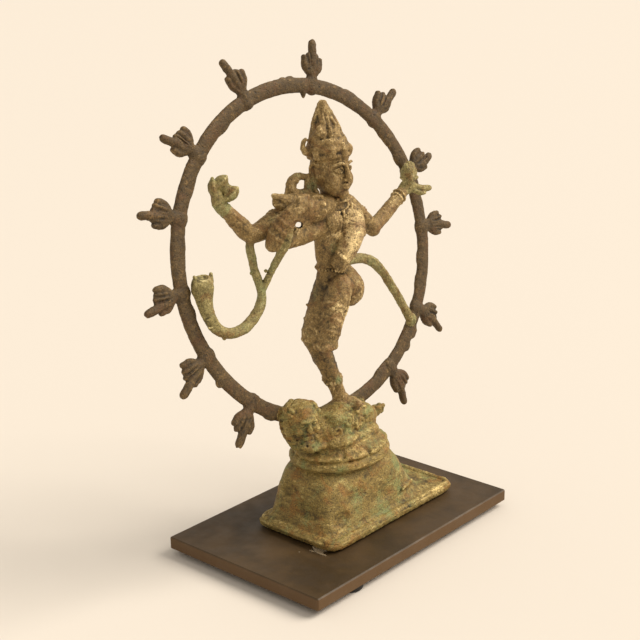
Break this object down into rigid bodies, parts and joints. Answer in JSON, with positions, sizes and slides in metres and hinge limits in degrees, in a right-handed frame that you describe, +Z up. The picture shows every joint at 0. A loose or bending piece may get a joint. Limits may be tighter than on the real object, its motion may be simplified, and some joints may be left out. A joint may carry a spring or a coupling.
{
  "type": "dancing deity statue",
  "caption": "Cast brass four-armed dancing deity in a ring of flames, standing on a dwarf and a domed pedestal fixed to a flat display board.",
  "frame": {"origin": "middle of the footprint, on the surface that the rubber feet stand on", "axes": "+Z up; -Y is the way the figure faces; +X is towards the figure's own left hand"},
  "size_m": [0.2056, 0.096, 0.2414],
  "materials": {
    "board_lacquer": "satin dark grey-brown lacquer, worn to warm brown on the edges",
    "foot_rubber": "matt black",
    "clear_glue": "clear glossy adhesive",
    "pedestal_brass": "old brass, pitted, green and ochre patina",
    "ring_brass": "old brass, dark brown patina",
    "verdigris_brass": "old brass, pale green verdigris",
    "figure_brass": "old brass, worn golden brown with dark recesses"
  },
  "bodies": {
    "root": {"adhesive_dabs": "clear_glue", "anklet": "figure_brass", "armlet": "figure_brass", "aureole_ring": "ring_brass", "crown": "figure_brass", "crown_hook": "figure_brass", "diadem": "figure_brass", "display_board": "board_lacquer", "dwarf_body": "pedestal_brass", "dwarf_hair": "pedestal_brass", "dwarf_head": "pedestal_brass", "dwarf_leg": "pedestal_brass", "flame_01": "ring_brass", "flame_02": "ring_brass", "flame_03": "ring_brass", "flame_04": "ring_brass", "flame_05": "ring_brass", "flame_06": "ring_brass", "flame_07": "ring_brass", "flame_08": "ring_brass", "flame_09": "ring_brass", "flame_10": "ring_brass", "flame_11": "ring_brass", "flame_12": "ring_brass", "flame_bowl": "verdigris_brass", "front_left_arm": "figure_brass", "front_right_arm": "figure_brass", "front_right_hand": "figure_brass", "hair_lock": "figure_brass", "hand_drum": "verdigris_brass", "head": "figure_brass", "hips": "figure_brass", "left_ear": "figure_brass", "lotus_lower_ring": "pedestal_brass", "lotus_upper_ring": "pedestal_brass", "necklace": "figure_brass", "pedestal": "pedestal_brass", "pedestal_edge_bead": "pedestal_brass", "raised_foot": "figure_brass", "raised_leg": "figure_brass", "rear_left_arm": "figure_brass", "rear_left_hand": "verdigris_brass", "rear_right_arm": "figure_brass", "rear_right_hand": "verdigris_brass", "right_ear": "figure_brass", "right_earring": "figure_brass", "rubber_feet": "foot_rubber", "sash": "verdigris_brass", "serpent": "verdigris_brass", "shoulder_tassel": "figure_brass", "standing_foot": "figure_brass", "standing_leg": "figure_brass", "torso": "figure_brass", "waist_belt": "figure_brass"}
  },
  "joints": []
}
